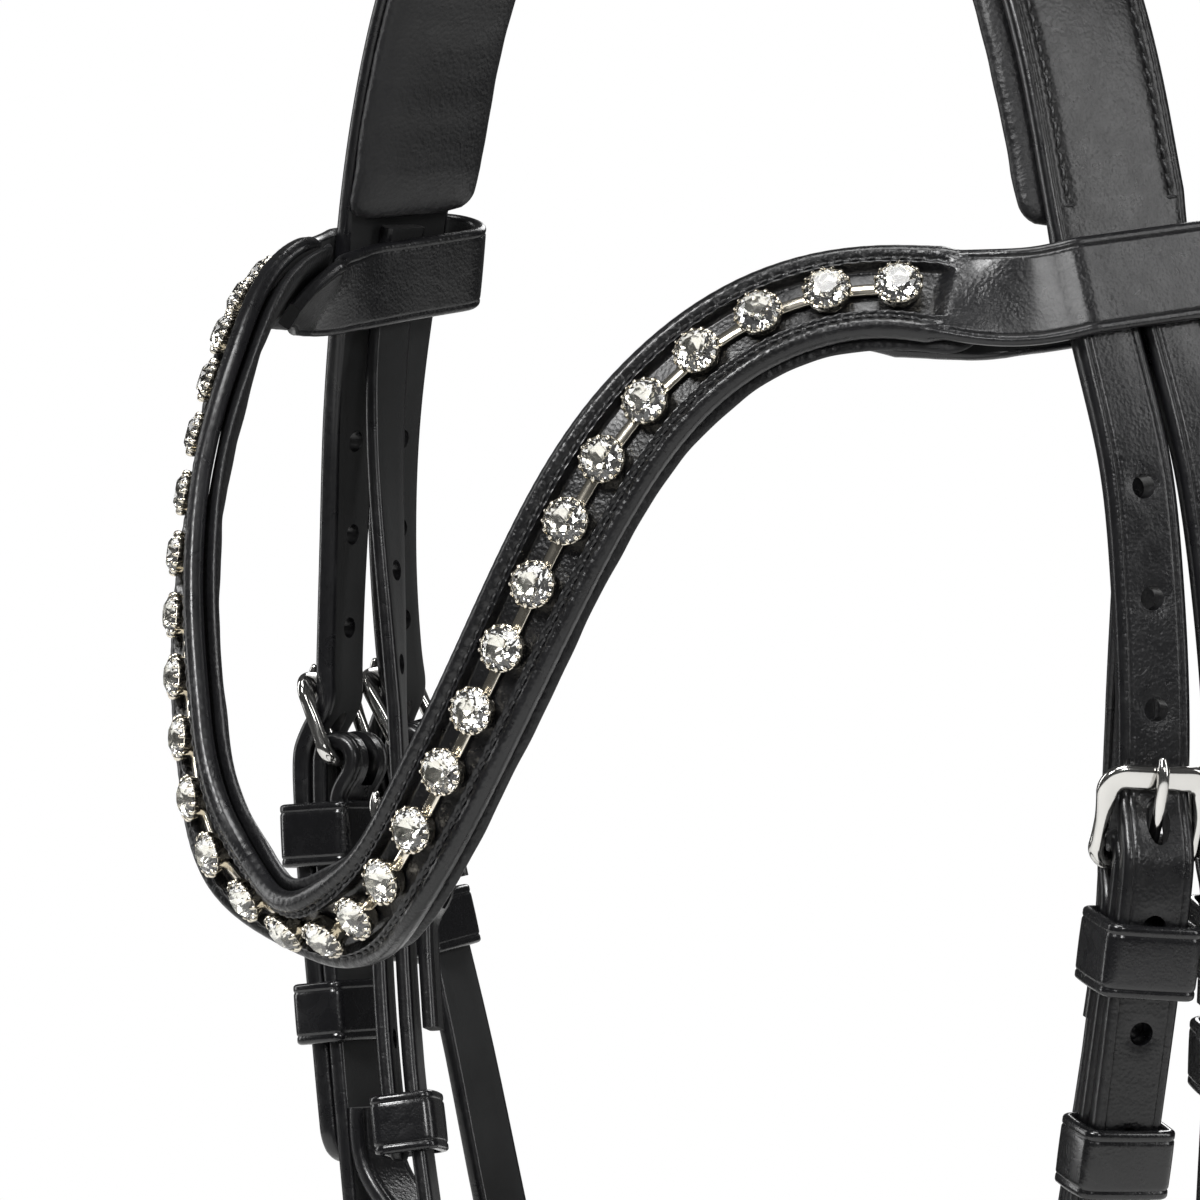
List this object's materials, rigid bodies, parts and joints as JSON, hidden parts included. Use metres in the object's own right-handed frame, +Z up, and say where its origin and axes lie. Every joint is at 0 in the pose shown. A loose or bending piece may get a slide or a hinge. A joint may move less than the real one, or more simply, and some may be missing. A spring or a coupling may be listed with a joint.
{
  "type": "snaffle bridle",
  "caption": "English snaffle bridle in black leather: padded headpiece, V-shaped crystal-set browband, buckled noseband hangers and cheekpieces, throatlash, and a jointed loose-ring bit",
  "frame": {"origin": "underside of the padded headpiece at the poll, on the mid plane", "axes": "+X the horse's left side, -Y forward toward the forehead, +Z up"},
  "size_m": [0.2658, 0.1837, 0.4733],
  "materials": {
    "leather": "black finished bridle leather, semi-gloss, fine grain, pressed crease lines",
    "lining": "soft black padded leather, satin",
    "steel": "polished stainless steel",
    "crystal": "clear faceted crystals in silver-coloured claw cups on a link chain"
  },
  "bodies": {
    "headpiece": {"headpiece_strap": "leather", "headpiece_padding": "lining"},
    "browband": {"browband_strap": "leather", "browband_lining": "lining", "stone_chain": "crystal"},
    "throatlash": {"throatlash_billet": "leather", "throatlash_strap": "leather", "throatlash_buckle": "steel", "throatlash_keeper": "leather"},
    "throatlash_tongue": {"throatlash_buckle_tongue": "steel"},
    "lower": {"noseband_billet_end_left": "leather", "cheek_billet_end_left": "leather", "noseband_hanger_left": "leather", "cheekpiece_left": "leather", "noseband_keeper_left": "leather", "cheek_keeper_left": "leather", "bit_keeper_left": "leather", "noseband_buckle_left": "steel", "cheek_buckle_left": "steel", "hook_stud_left": "steel", "noseband_billet_end_right": "leather", "cheek_billet_end_right": "leather", "noseband_hanger_right": "leather", "cheekpiece_right": "leather", "noseband_keeper_right": "leather", "cheek_keeper_right": "leather", "bit_keeper_right": "leather", "noseband_buckle_right": "steel", "cheek_buckle_right": "steel", "hook_stud_right": "steel"},
    "noseband": {"noseband_front": "leather", "noseband_padding": "lining", "noseband_rear_billet": "leather", "noseband_rear_strap": "leather", "noseband_rear_buckle": "steel", "noseband_rear_keeper": "leather"},
    "noseband_rear_tongue": {"noseband_rear_buckle_tongue": "steel"},
    "noseband_tongue_left": {"noseband_buckle_tongue_left": "steel"},
    "cheek_tongue_left": {"cheek_buckle_tongue_left": "steel"},
    "noseband_runner_left": {"noseband_runner_left": "leather"},
    "cheek_runner_left": {"cheek_runner_left": "leather"},
    "bit_ring_left": {"bit_ring_left": "steel"},
    "bit_mouthpiece_left": {"bit_mouthpiece_left": "steel"},
    "noseband_tongue_right": {"noseband_buckle_tongue_right": "steel"},
    "cheek_tongue_right": {"cheek_buckle_tongue_right": "steel"},
    "noseband_runner_right": {"noseband_runner_right": "leather"},
    "cheek_runner_right": {"cheek_runner_right": "leather"},
    "bit_ring_right": {"bit_ring_right": "steel"},
    "bit_mouthpiece_right": {"bit_mouthpiece_right": "steel"}
  },
  "joints": [
    {"name": "browband_slide", "type": "slide", "parent": "headpiece", "child": "browband", "axis": [0, 0, 1], "range_m": [-0.0005, 0.001]},
    {"name": "throatlash_swing", "type": "hinge", "parent": "headpiece", "child": "throatlash", "pos_m": [0, -0.0075, -0.1], "axis": [1, 0, 0], "range_deg": [-3, 2.8]},
    {"name": "throatlash_tongue_lift", "type": "hinge", "parent": "throatlash", "child": "throatlash_tongue", "pos_m": [-0.09308, -0.0048, -0.22763], "axis": [0.7132, -0.6831, 0.1572], "range_deg": [0, 7]},
    {"name": "lower_swing", "type": "hinge", "parent": "headpiece", "child": "lower", "pos_m": [0, 0.001, -0.1905], "axis": [1, 0, 0], "range_deg": [-5, 5]},
    {"name": "noseband_tilt", "type": "hinge", "parent": "lower", "child": "noseband", "pos_m": [0, -0.0089, -0.31], "axis": [1, 0, 0], "range_deg": [-4, 4]},
    {"name": "noseband_rear_tongue_lift", "type": "hinge", "parent": "noseband", "child": "noseband_rear_tongue", "pos_m": [0.03805, 0.06791, -0.30925], "axis": [-0.0515, -0.1293, -0.9903], "range_deg": [0, 7]},
    {"name": "noseband_tongue_lift_left", "type": "hinge", "parent": "lower", "child": "noseband_tongue_left", "pos_m": [0.11759, -0.00524, -0.20522], "axis": [0.3894, 0.9181, -0.0737], "range_deg": [0, 7]},
    {"name": "cheek_tongue_lift_left", "type": "hinge", "parent": "lower", "child": "cheek_tongue_left", "pos_m": [0.12038, 0.01378, -0.20395], "axis": [0.4007, 0.9144, 0.0572], "range_deg": [0, 7]},
    {"name": "noseband_runner_slide_left", "type": "slide", "parent": "lower", "child": "noseband_runner_left", "axis": [-0.1614, -0.0183, -0.9867], "range_m": [-0.006, 0.006]},
    {"name": "cheek_runner_slide_left", "type": "slide", "parent": "lower", "child": "cheek_runner_left", "axis": [-0.186, 0.1293, -0.974], "range_m": [-0.001, 0.004]},
    {"name": "bit_ring_turn_left", "type": "hinge", "parent": "lower", "child": "bit_ring_left", "pos_m": [0.06256, 0.03278, -0.42323], "axis": [0.9448, -0.1392, -0.2966], "continuous": true},
    {"name": "bit_mouthpiece_fold_left", "type": "hinge", "parent": "lower", "child": "bit_mouthpiece_left", "pos_m": [0.05283, 0.03386, -0.45475], "axis": [0, 1, 0], "range_deg": [0, 7]},
    {"name": "noseband_tongue_lift_right", "type": "hinge", "parent": "lower", "child": "noseband_tongue_right", "pos_m": [-0.11759, -0.00524, -0.20522], "axis": [0.3894, -0.9181, 0.0737], "range_deg": [0, 7]},
    {"name": "cheek_tongue_lift_right", "type": "hinge", "parent": "lower", "child": "cheek_tongue_right", "pos_m": [-0.12038, 0.01378, -0.20395], "axis": [0.4007, -0.9144, -0.0572], "range_deg": [0, 7]},
    {"name": "noseband_runner_slide_right", "type": "slide", "parent": "lower", "child": "noseband_runner_right", "axis": [0.1614, -0.0183, -0.9867], "range_m": [-0.006, 0.006]},
    {"name": "cheek_runner_slide_right", "type": "slide", "parent": "lower", "child": "cheek_runner_right", "axis": [0.186, 0.1293, -0.974], "range_m": [-0.001, 0.004]},
    {"name": "bit_ring_turn_right", "type": "hinge", "parent": "lower", "child": "bit_ring_right", "pos_m": [-0.06256, 0.03278, -0.42323], "axis": [-0.9448, -0.1392, -0.2966], "continuous": true},
    {"name": "bit_mouthpiece_fold_right", "type": "hinge", "parent": "lower", "child": "bit_mouthpiece_right", "pos_m": [-0.05283, 0.03386, -0.45475], "axis": [0, 1, 0], "range_deg": [-7, 0]}
  ],
  "couplings": [
    {"joint": "bit_mouthpiece_fold_right", "follows": "bit_mouthpiece_fold_left", "ratio": -1}
  ]
}
